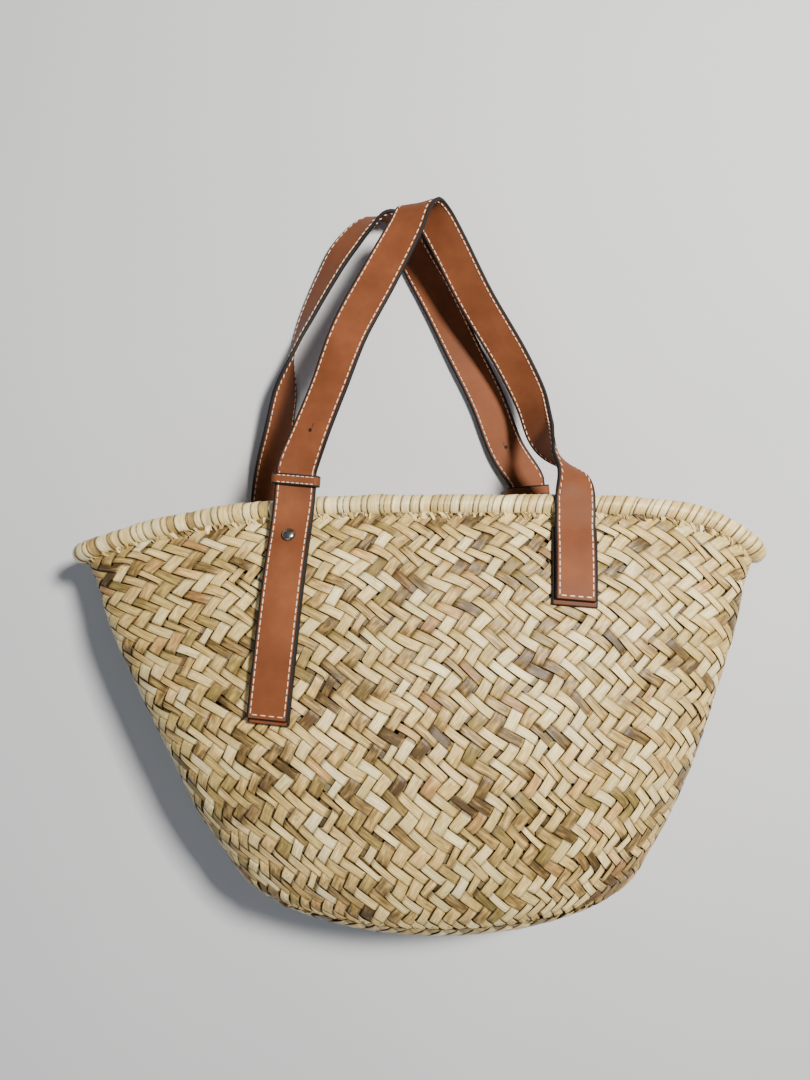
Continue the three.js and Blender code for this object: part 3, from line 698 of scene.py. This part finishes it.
def smooth_curve(points, t):
    """A Catmull-Rom curve through the points whose steps are the root of their distances."""
    ends = [2 * points[0] - points[1]], points, [2 * points[-1] - points[-2]]
    padded = np.concatenate(ends)
    i = np.minimum((t * (len(points) - 1)).astype(int), len(points) - 2)
    w = (t * (len(points) - 1) - i)[:, None]
    p0, p1, p2, p3 = (padded[i + k] for k in range(4))
    d0, d1, d2 = (np.linalg.norm(b - a, axis=1, keepdims=True) ** 0.5
                  for a, b in ((p0, p1), (p1, p2), (p2, p3)))
    d1 = np.where(d1 < 1e-4, 1.0, d1)
    d0, d2 = np.where(d0 < 1e-4, d1, d0), np.where(d2 < 1e-4, d1, d2)
    m1 = d1 * ((p1 - p0) / d0 - (p2 - p0) / (d0 + d1) + (p2 - p1) / d1)
    m2 = d1 * ((p2 - p1) / d1 - (p3 - p1) / (d1 + d2) + (p3 - p2) / d2)
    return p1 + w * (m1 + w * ((3 * (p2 - p1) - 2 * m1 - m2) + w * (m1 + m2 - 2 * (p2 - p1))))


class Route:
    """A strap's middle line with its frames, read by the distance from its first end."""

    def __init__(self, stations):
        points = np.concatenate([station[0] for station in stations])
        edges = np.concatenate([station[1] for station in stations])
        t = np.linspace(0, 1, 40 * (len(points) - 1) + 1)
        self.middle = smooth_curve(points, t)
        along = unit(smooth_curve(points, np.minimum(t + 1e-4, 1))
                     - smooth_curve(points, np.maximum(t - 1e-4, 0)))
        across = smooth_curve(unit(edges), t)
        across = unit(across - along * np.einsum("ij,ij->i", across, along)[:, None])
        self.frames = np.concatenate([self.middle, along, across, np.cross(across, along)], 1)
        steps = np.linalg.norm(np.diff(self.middle, axis=0), axis=1)
        self.run = np.concatenate([[0.0], np.cumsum(steps)])
        self.length = self.run[-1]

    def at(self, run):
        """Middle, along, across and out at distances from the first end."""
        run = np.atleast_1d(run)
        read = np.stack([np.interp(run, self.run, column) for column in self.frames.T], -1)
        return read[:, :3], unit(read[:, 3:6]), unit(read[:, 6:9]), unit(read[:, 9:])


def strap_section(width, thickness, radius, paint):
    """A flat rectangle with rounded corners as across and out offsets, and how much of it
    is the painted edge, which laps onto both faces."""
    radius = min(radius, thickness / 2 * 0.98)
    arc = np.linspace(0, math.pi / 2, 4)
    x, z = width / 2 - radius, thickness / 2 - radius
    corner_x = x + radius * np.sin(arc)
    corner_z = z + radius * np.cos(arc)
    lap = [x - paint - 0.12, x - paint]
    right_x = np.concatenate([[0.0], lap, corner_x, corner_x[::-1], lap[::-1]])
    right_z = np.concatenate([[z + radius] * 3, corner_z, -corner_z[::-1], [-z - radius] * 2])
    edge = np.array([0.0, 0.0, 1.0] + [1.0] * 8 + [1.0, 0.0])
    return (np.concatenate([right_x, -right_x]), np.concatenate([right_z, -right_z]),
            np.concatenate([edge, edge]))


def strap(shape, route, width, thickness):
    """A strap along a route: its section carried along, drawn in a little at both ends."""
    ease = 0.7
    run = np.linspace(0, route.length, max(int(route.length / STRAP_STEP), 8))
    run = np.sort(np.concatenate([run, [ease * 0.35, ease, route.length - ease,
                                        route.length - ease * 0.35]]))
    middle, _, across, out = route.at(run)
    x, z, edge = strap_section(width, thickness, STRAP_CORNER, STRAP_PAINT)
    near = np.minimum(run, route.length - run)
    draw = ease * (1 - np.sqrt(np.clip(1 - (1 - np.clip(near / ease, 0, 1)) ** 2, 0, 1)))
    scale_x = (1 - 2 * draw / width)[:, None]
    scale_z = (1 - 2 * draw / thickness * 0.9)[:, None]
    points = (middle[:, None] + across[:, None] * (x * scale_x)[..., None]
              + out[:, None] * (z * scale_z)[..., None])
    edge = np.maximum(edge, (near < ease)[:, None])
    shape.add(points, strip_faces(1, len(run), len(x)), edge=edge.ravel(),
              across=np.broadcast_to(x, edge.shape).ravel(),
              along=np.broadcast_to(run[:, None], edge.shape).ravel())


def stitch_line(shape, route, runs, offsets, face, lift, width, across_way=False):
    """Thread along a route: one bead per stitch, half sunk in the face it lies on."""
    middle, along, across, out = route.at(runs)
    centres = middle + across * np.reshape(offsets, (-1, 1)) + face * out * lift
    points, faces = beads(centres, across if across_way else along, face * out,
                          STITCH_LENGTH, width, width)
    shape.add(points, faces, thread=1.0)


def sew(shape, route, start, stop, closed, thread=STITCH_WIDTH):
    """Stitches down both long edges of a strap, and across it at the closed ends."""
    count = max(int((stop - start) / STITCH_PITCH), 1)
    runs = start + (stop - start) * (np.arange(count) + 0.5) / count
    inset = STRAP_WIDTH / 2 - STITCH_INSET
    lift = STRAP_THICKNESS / 2 + STITCH_LIFT
    for face in (1, -1):
        for side in (-1, 1):
            stitch_line(shape, route, runs, np.full(count, side * inset), face, lift, thread)
        across_count = max(int(2 * inset / STITCH_PITCH), 1)
        offsets = -inset + 2 * inset * (np.arange(across_count) + 0.5) / across_count
        for end, wanted in zip((start, stop), closed):
            if wanted:
                stitch_line(shape, route, np.full(across_count, end), offsets, face, lift,
                            thread, across_way=True)


BASE_LIFT = STRAP_THICKNESS / 2
TAIL_LIFT = STRAP_THICKNESS + WRAP_GAP + STRAP_THICKNESS / 2
PATCH_LIFT = PATCH_THICKNESS / 2
FOOT_LIFT = PATCH_THICKNESS + SEAT_GAP + STRAP_THICKNESS / 2


def base_strap(feet):
    """The strap sewn to the basket, under the adjusting end."""
    side, line = feet["side"], feet["adjusting"]
    route = Route([
        panel_route(side, line, TAIL_LENGTH, TAIL_MARGIN, WRAP_GAP + BASE_LIFT),
        over_roll(side, across_at(line, 0), BASE_LIFT),
        above_roll(side, line, feet["keeper_rise"] + KEEPER_WIDTH / 2, BASE_LIFT),
    ])
    shape = Shape()
    strap(shape, route, STRAP_WIDTH, STRAP_THICKNESS)
    return shape


def handle(feet):
    """One handle from its tail over the keeper and the arch to its sewn end, with its thread
    and its punched adjusting holes, each with a short slit."""
    side, arch = feet["side"], feet["arch"]
    tail = [
        panel_route(side, feet["adjusting"], TAIL_LENGTH, 0, WRAP_GAP + TAIL_LIFT),
        over_roll(side, across_at(feet["adjusting"], 0), TAIL_LIFT),
        above_roll(side, feet["adjusting"], feet["keeper_rise"] + KEEPER_WIDTH / 2, TAIL_LIFT),
        above_roll(side, feet["adjusting"], feet["keeper_rise"] + KEEPER_WIDTH, TAIL_LIFT),
    ]
    foot = [
        panel_route(side, feet["sewn"], FOOT_LENGTH, 0, WRAP_GAP + FOOT_LIFT),
        over_roll(side, across_at(feet["sewn"], 0), BASE_LIFT),
    ]
    tail = [(point, across * side) for point, across in tail]
    foot = [(point[::-1], -across[::-1] * side) for point, across in foot[::-1]]
    free = (arch[:, :3] * [HANDLE_SPREAD / 2, HANDLE_DROP, BELLY_DEPTH], arch[:, 3:])
    route = Route([*tail, free, *foot])
    shape = Shape()
    strap(shape, route, STRAP_WIDTH, STRAP_THICKNESS)
    sewn_from = route.length - FOOT_LENGTH
    sew(shape, route, STITCH_INSET, sewn_from, (True, False))
    sew(shape, route, sewn_from, route.length - STITCH_INSET, (False, True), FOOT_STITCH_WIDTH)
    for run in feet["holes"]:
        middle, along, across, out = route.at(run)
        for face in (1, -1):
            level = middle + face * out * STRAP_THICKNESS / 2
            slit = level + along * SLIT_ALONG + across * SLIT_ACROSS
            for centre, length, wide in ((level, HOLE_DIAMETER, HOLE_DIAMETER),
                                         (slit, SLIT_LENGTH, SLIT_WIDTH)):
                points, faces = beads(centre, along, face * out, length, wide, HOLE_RISE)
                shape.add(points, faces, edge=1.0)
    return shape


def patch(feet):
    """The thin leather between the sewn end and the wall."""
    shape = Shape()
    strap(shape, Route([panel_route(feet["side"], feet["sewn"], FOOT_LENGTH, PATCH_MARGIN,
                                    WRAP_GAP + PATCH_LIFT)]), PATCH_WIDTH, PATCH_THICKNESS)
    return shape


def keeper(feet):
    """The loop round both layers of strap: a narrow band carried round a rounded rectangle,
    with thread along both its edges."""
    side, line = feet["side"], feet["adjusting"]
    wide = STRAP_WIDTH / 2 + WRAP_GAP + KEEPER_THICKNESS / 2
    high = STRAP_THICKNESS + WRAP_GAP / 2 + WRAP_GAP + KEEPER_THICKNESS / 2
    radius = min(1.5 * KEEPER_THICKNESS, high)
    turn = (np.linspace(0, math.pi / 2, 7) + np.arange(4)[:, None] * math.pi / 2).ravel()
    out_x, out_z = np.cos(turn), np.sin(turn)
    x = np.repeat([1, -1, -1, 1], 7) * (wide - radius) + radius * out_x
    z = np.repeat([1, 1, -1, -1], 7) * (high - radius) + radius * out_z
    low, _ = above_roll(side, line, feet["keeper_rise"], BASE_LIFT)
    top, _ = above_roll(side, line, feet["keeper_rise"], TAIL_LIFT)
    beyond, _ = above_roll(side, line, 2 * feet["keeper_rise"], BASE_LIFT)
    along = unit(beyond[0] - low[0])
    across = unit(np.cross(UP, along))
    along = np.cross(across, UP)
    centre = (low[0] + top[0]) / 2
    middle = centre + x[:, None] * across + z[:, None] * UP
    out = out_x[:, None] * across + out_z[:, None] * UP
    offset, rise, edge = strap_section(KEEPER_WIDTH, KEEPER_THICKNESS, KEEPER_CORNER,
                                       KEEPER_PAINT)
    points = (middle[:, None] + along * offset[:, None]
              + out[:, None] * rise[:, None])
    shape = Shape()
    shape.add(points, ring_faces(len(x), len(offset)), edge=np.tile(edge, len(x)),
              across=np.tile(offset, len(x)), along=np.repeat(np.arange(len(x)) * 2.0,
                                                              len(offset)))
    count = int(2 * (wide - radius) / KEEPER_STITCH_PITCH)
    places = (np.arange(count) + 0.5) / count * 2 - 1
    for line_at in (-1, 1):
        centres = (centre + (places * (wide - radius))[:, None] * across
                   + side * UP * (high + KEEPER_THICKNESS / 2 + KEEPER_STITCH_LIFT)
                   + along * line_at * (KEEPER_WIDTH / 2 - KEEPER_STITCH_INSET))
        flat = np.ones((count, 1))
        points, faces = beads(centres, flat * across, flat * side * UP,
                              KEEPER_STITCH_PITCH * 0.8, KEEPER_STITCH_WIDTH,
                              KEEPER_STITCH_WIDTH)
        shape.add(points, faces, thread=1.0)
    return shape


def stud(feet):
    """The domed head through the tail: a low skirt, then a quarter round up to the middle."""
    shape = Shape()
    x = np.array([across_at(feet["adjusting"], STUD_FALL / TAIL_LENGTH)], dtype=float)
    point, out = point_on_panel(feet["side"], x, rim_line_at(feet["side"], x) - STUD_FALL)
    centre = point[0] + out[0] * (WRAP_GAP + TAIL_LIFT + STRAP_THICKNESS / 2)
    across = unit(np.cross(out[0], UP + 0.3))
    other = np.cross(out[0], across)
    bow = np.linspace(0, math.pi / 2, 9)[:-1]
    radii = np.concatenate([[0.02, 0.8, 1.0, 1.0], 0.97 * np.cos(bow), [0.02]])
    rises = np.concatenate([[0.0, 0.0, 0.02, 0.16], 0.2 + 0.8 * np.sin(bow), [1.0]])
    turns = np.linspace(0, 2 * math.pi, 40, endpoint=False)
    ring = across * np.cos(turns)[:, None] + other * np.sin(turns)[:, None]
    points = (centre + radii[:, None, None] * STUD_DIAMETER / 2 * ring
              + (rises * STUD_HEIGHT + SEAT_GAP)[:, None, None] * out[0])
    shape.add(points, strip_faces(1, len(radii), len(turns)))
    return shape


# Materials

class Finish:
    """A node material: node() adds one node, with its inputs given as values or links."""

    def __init__(self, name):
        self.material = bpy.data.materials.new(name)
        self.material.use_nodes = True
        self.nodes, self.links = self.material.node_tree.nodes, self.material.node_tree.links
        self.shader = self.nodes["Principled BSDF"]

    def node(self, kind, inputs=None, output=0, **settings):
        node = self.nodes.new("ShaderNode" + kind)
        for key, value in settings.items():
            setattr(node, key, value)
        for key, value in (inputs or {}).items():
            self.feed(node.inputs[key], value)
        return node.outputs[output]

    def feed(self, socket, value):
        if isinstance(value, bpy.types.NodeSocket):
            self.links.new(value, socket)
        else:
            socket.default_value = value

    def value(self, name):
        return self.node("Attribute", output="Fac", attribute_name=name)

    def math(self, operation, a, b=0.0, c=0.0):
        return self.node("Math", {0: a, 1: b, 2: c}, operation=operation)

    def mix(self, factor, a, b, blend="MIX"):
        return self.node("Mix", {"Factor": factor, 6: a, 7: b}, output=2, data_type="RGBA",
                         blend_type=blend)

    def ramp(self, factor, stops):
        node = self.nodes.new("ShaderNodeValToRGB")
        self.links.new(factor, node.inputs[0])
        while len(node.color_ramp.elements) < len(stops):
            node.color_ramp.elements.new(0.5)
        for element, (place, colour) in zip(node.color_ramp.elements, stops):
            element.position = place
            element.color = (*colour, 1)
        return node.outputs[0]

    def spread(self, value, low, high, new_low=0.0, new_high=1.0):
        return self.node("MapRange", {0: value, 1: low, 2: high, 3: new_low, 4: new_high})

    def noise(self, vector, scale, detail, roughness):
        return self.node("TexNoise", {"Vector": vector, "Scale": scale, "Detail": detail,
                                      "Roughness": roughness})

    def vector(self, x, y, z=0.0):
        return self.node("CombineXYZ", {0: x, 1: y, 2: z})

    def finish(self, colour, roughness, height=None, distance=0.0003, strength=0.6, **fixed):
        self.feed(self.shader.inputs["Base Color"], colour)
        self.feed(self.shader.inputs["Roughness"], roughness)
        if height is not None:
            bump = self.node("Bump", {"Height": height, "Distance": distance,
                                      "Strength": strength})
            self.links.new(bump, self.shader.inputs["Normal"])
        for key, value in fixed.items():
            self.shader.inputs[key.replace("_", " ")].default_value = value
        return self.material


# Stains of the front panel: place in the bag's coordinates and radius
STAINS = [((-103.0, -186.0), 7.5), ((-109.0, -191.0), 5.5), ((-96.0, -170.0), 5.0),
          ((-75.0, -184.0), 4.5), ((115.0, -239.0), 12.0), ((125.0, -231.0), 9.0)]


def straw(name, pale, sheen_roughness):
    """Dried leaf: each strip has its own tone and tint, fine fibres run along it, and grey
    weathering, spots and a few stains lie over all."""
    f = Finish(name)
    place = f.node("TexCoord", output="Object")
    tone, hue = f.value("tone"), f.value("hue")
    across, along = f.value("across"), f.value("along")
    fibre = f.noise(f.vector(f.math("MULTIPLY", across, 1.5), f.math("MULTIPLY", along, 0.07)),
                    1.0, 4.0, 0.7)
    streak = f.noise(f.vector(f.math("MULTIPLY", across, 0.45), f.math("MULTIPLY", along, 0.09)),
                     1.0, 2.0, 0.5)
    patches = f.noise(place, 38.0, 3.0, 0.6)
    shade = f.math("ADD", f.math("MULTIPLY", tone, 0.80), f.math("MULTIPLY", streak, 0.6))
    shade = f.math("ADD", shade, f.math("MULTIPLY_ADD", patches, 0.5, -0.38))
    shade = f.math("ADD", f.math("MULTIPLY_ADD", shade, 1.5, -0.26), pale)
    colour = f.ramp(shade, [(0.08, (0.085, 0.052, 0.018)), (0.30, (0.29, 0.190, 0.062)),
                            (0.52, (0.62, 0.435, 0.150)), (0.78, (0.88, 0.680, 0.285)),
                            (1.0, (0.97, 0.83, 0.44))])
    pink = f.spread(hue, 0.91, 0.96)
    green = f.spread(hue, 0.28, 0.20)
    grey = f.node("MapRange", {0: f.math("ABSOLUTE", f.math("SUBTRACT", hue, 0.5)),
                               1: 0.16, 2: 0.10, 3: 0.0, 4: 0.55})
    colour = f.mix(grey, colour, (0.80, 0.82, 0.98, 1), blend="MULTIPLY")
    colour = f.mix(f.math("MULTIPLY", pink, 0.32), colour, (0.66, 0.33, 0.14, 1))
    colour = f.mix(f.math("MULTIPLY", green, 0.35), colour, (0.36, 0.30, 0.085, 1))
    fine = f.spread(fibre, 0.3, 0.7, 0.52, 1.26)
    colour = f.mix(1.0, colour, f.vector(fine, fine, fine), blend="MULTIPLY")
    specks = f.spread(f.noise(place, 420.0, 2.0, 0.5), 0.66, 0.74, 0.0, 0.4)
    colour = f.mix(specks, colour, (0.17, 0.11, 0.06, 1))
    # Painted shade, near black, where floats dive under their neighbours and in the gaps at the
    # edges of strips and wraps, over the cut edges' own darker colour
    painted_shade = f.math("MAXIMUM", f.math("MULTIPLY", f.value("dive"), 0.85), f.value("cut"))
    colour = f.mix(painted_shade, colour, (0.030, 0.016, 0.006, 1))
    place_x = f.node("SeparateXYZ", {0: place})
    place_y, place_z = (place_x.node.outputs[k] for k in (1, 2))
    facing = f.spread(place_z, 0.06, 0.075)
    wander = f.math("MULTIPLY_ADD", f.noise(place, 190.0, 2.0, 0.6), 0.012, -0.006)
    for (x, y), radius in STAINS:
        x, y, radius = (x + MODEL_SHIFT[0]) * MM, (y + MODEL_SHIFT[1]) * MM, radius * MM
        squares = [f.math("POWER", f.math("SUBTRACT", a, b), 2.0)
                   for a, b in ((place_x, x), (place_y, y))]
        apart = f.math("SQRT", f.math("ADD", *squares))
        mask = f.spread(f.math("ADD", apart, wander), radius, radius * 0.45)
        mask = f.math("MULTIPLY", mask, f.math("MULTIPLY", facing, 0.62))
        colour = f.mix(mask, colour, (0.12, 0.07, 0.035, 1))
    height = f.math("ADD", fibre, f.math("MULTIPLY", streak, 0.6))
    rough = f.spread(fibre, 0.3, 0.7, sheen_roughness + 0.1, sheen_roughness - 0.06)
    return f.finish(colour, rough, height, distance=0.0004, strength=0.6,
                    Specular_IOR_Level=0.42)


def leather(name, colours):
    """Smooth cow leather with fine pores, soft mottling and creases, glossy black paint on
    the cut edges, and pale waxed thread."""
    f = Finish(name)
    place = f.node("TexCoord", output="Object")
    edge, thread = f.value("edge"), f.value("thread")
    cloudy = f.noise(place, 26.0, 4.0, 0.6)
    colour = f.ramp(cloudy, [(0.28, colours[0]), (0.52, colours[1]), (0.75, colours[2])])
    scuffs = f.noise(place, 160.0, 5.0, 0.7)
    colour = f.mix(f.spread(scuffs, 0.62, 0.8, 0.0, 0.3), colour, (*colours[0], 1))
    worn = f.spread(f.math("ABSOLUTE", f.value("across")), 9.2, 12.6, 0.0, 0.30)
    colour = f.mix(worn, colour, (*colours[0], 1))
    painted = f.spread(edge, 0.35, 0.6)
    colour = f.mix(painted, colour, (0.012, 0.011, 0.012, 1))
    thread_tint = f.mix(f.noise(place, 900.0, 2.0, 0.5), (0.80, 0.56, 0.42, 1),
                        (0.92, 0.74, 0.60, 1))
    colour = f.mix(f.spread(thread, 0.4, 0.6), colour, thread_tint)
    pores = f.node("TexVoronoi", {"Vector": place, "Scale": 1500.0}, output="Distance")
    height = f.math("ADD", f.math("MULTIPLY", pores, 0.5), f.math("MULTIPLY", scuffs, 0.8))
    rough = f.math("ADD", f.spread(cloudy, 0.3, 0.7, 0.54, 0.66),
                   f.math("MULTIPLY", thread, 0.3))
    return f.finish(colour, rough, height, distance=0.00012, strength=0.35,
                    Specular_IOR_Level=0.16)


def nickel():
    """Dark plated metal, lightly rubbed."""
    f = Finish("dark_nickel_head")
    place = f.node("TexCoord", output="Object")
    rubbed = f.noise(place, 700.0, 4.0, 0.6)
    colour = f.ramp(rubbed, [(0.3, (0.20, 0.185, 0.165)), (0.7, (0.42, 0.40, 0.37))])
    return f.finish(colour, f.spread(rubbed, 0.3, 0.7, 0.18, 0.32), rubbed,
                    distance=0.00004, strength=0.3, Metallic=1.0)


def floor_finish():
    """A plain pale surface."""
    f = Finish("pale_floor")
    place = f.node("TexCoord", output="Object")
    colour = f.ramp(f.noise(place, 3.0, 2.0, 0.5), [(0.3, (0.53, 0.57, 0.64)),
                                                    (0.7, (0.56, 0.60, 0.67))])
    return f.finish(colour, 0.85)


# Camera, light and floor

def set_stage():
    """Camera straight above, as the photograph's, soft light from the upper right, a pale
    floor at the resting surface."""
    camera_data = bpy.data.cameras.new("overhead")
    camera_data.sensor_width = SENSOR_HEIGHT
    camera_data.lens = FOCAL_LENGTH / PICTURE_HEIGHT * SENSOR_HEIGHT
    camera_data.clip_start = 0.01
    camera = bpy.data.objects.new("overhead", camera_data)
    camera.location = (CAMERA_PLACE + MODEL_SHIFT) * MM
    bpy.context.scene.collection.objects.link(camera)
    bpy.context.scene.camera = camera

    for name, place, size, power, tint in (
            ("key", (0.58, 0.42, 1.22), 0.22, 46.0, (1.0, 0.91, 0.78)),
            ("fill", (-0.5, -1.0, 1.1), 1.2, 3.5, (1.0, 0.97, 0.92))):
        light_data = bpy.data.lights.new(name, "AREA")
        light_data.color = tint
        light_data.size = size
        light_data.energy = power
        light = bpy.data.objects.new(name, light_data)
        light.location = place
        way = -np.array(place)
        light.rotation_euler = (math.acos(-way[2] / np.linalg.norm(way)), 0,
                                math.atan2(way[1], way[0]) - math.pi / 2)
        bpy.context.scene.collection.objects.link(light)

    world = bpy.data.worlds.new("studio")
    world.use_nodes = True
    background = world.node_tree.nodes["Background"]
    background.inputs["Color"].default_value = (0.90, 0.94, 1.0, 1)
    background.inputs["Strength"].default_value = 0.19
    bpy.context.scene.world = world

    half = 2.0
    mesh = bpy.data.meshes.new("floor")
    mesh.from_pydata([(-half, -half, 0), (half, -half, 0), (half, half, 0), (-half, half, 0)],
                     [], [(0, 1, 2, 3)])
    mesh.materials.append(floor_finish())
    floor = bpy.data.objects.new("floor", mesh)
    bpy.context.scene.collection.objects.link(floor)


set_stage()

woven_straw = straw("woven_leaf", 0.0, 0.42)
bound_straw = straw("bound_leaf", 0.04, 0.34)
tan_leather = leather("tan_leather", [(0.115, 0.036, 0.014), (0.160, 0.052, 0.021),
                                      (0.215, 0.074, 0.031)])
dark_leather = leather("dark_leather", [(0.085, 0.026, 0.009), (0.115, 0.035, 0.013),
                                        (0.145, 0.046, 0.018)])
dark_nickel = nickel()

wall_weave(False, 3).piece("wall_strips_falling", "woven_straw", woven_straw, ["basket"], 38)
wall_weave(True, 5).piece("wall_strips_rising", "woven_straw", woven_straw, ["basket"], 38)
base_weave(7).piece("base_strips", "woven_straw", woven_straw, ["basket"], 38)
rim_winding().piece("rim_winding", "bound_straw", bound_straw, ["rim_roll"], 50)
rim_lashing().piece("rim_lashing", "bound_straw", bound_straw, ["rim_roll"], 50)

for side, feet in (("front", FRONT_FEET), ("back", BACK_FEET)):
    base_strap(feet).piece(f"{side}_base_leather", "tan_leather", tan_leather,
                           [f"{side}_base_strap"])
    handle(feet).piece(f"{side}_handle_leather", "tan_leather", tan_leather,
                       [f"{side}_handle"])
    keeper(feet).piece(f"{side}_keeper_leather", "tan_leather", tan_leather,
                       [f"{side}_keeper"])
    patch(feet).piece(f"{side}_patch_leather", "dark_leather", dark_leather,
                      [f"{side}_patch"])
    stud(feet).piece(f"{side}_stud_head", "dark_nickel", dark_nickel, [f"{side}_stud"])
